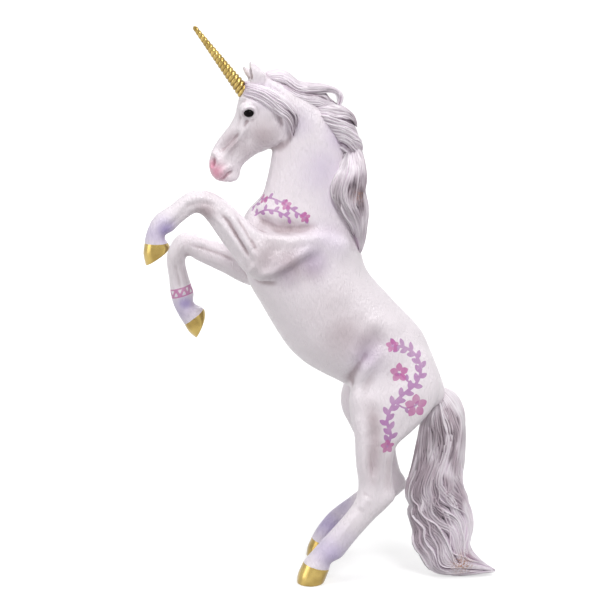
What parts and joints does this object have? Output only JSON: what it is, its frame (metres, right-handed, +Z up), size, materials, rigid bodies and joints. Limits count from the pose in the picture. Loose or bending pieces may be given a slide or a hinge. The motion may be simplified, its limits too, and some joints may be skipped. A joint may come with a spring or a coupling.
{
  "type": "unicorn figurine",
  "caption": "Rearing unicorn figurine with a spiral horn, flowing mane and tail, standing on its hind hooves and tail.",
  "frame": {"origin": "middle of the bounding box's footprint, on the surface that the hind hooves and the tail stand on", "axes": "+Z up, -X the way the animal faces, -Y its left side"},
  "size_m": [0.1192, 0.0364, 0.1863],
  "materials": {
    "pearl_coat": "pearl lacquer over white PVC, satin",
    "washed_hair": "pearl white PVC with a lilac-grey wash in the grooves",
    "gold_lacquer": "metallic gold lacquer on PVC",
    "gloss_black": "high-gloss black paint"
  },
  "bodies": {
    "root": {"torso": "pearl_coat", "head_and_neck": "pearl_coat", "left_foreleg": "pearl_coat", "right_foreleg": "pearl_coat", "left_hind_leg": "pearl_coat", "right_hind_leg": "pearl_coat", "left_fore_hoof": "gold_lacquer", "right_fore_hoof": "gold_lacquer", "left_hind_hoof": "gold_lacquer", "right_hind_hoof": "gold_lacquer", "horn": "gold_lacquer", "left_eye": "gloss_black", "right_eye": "gloss_black", "forelock": "washed_hair", "mane_top_lock": "washed_hair", "mane_crest_lock": "washed_hair", "mane_fall_lock": "washed_hair", "tail": "washed_hair"}
  },
  "joints": []
}
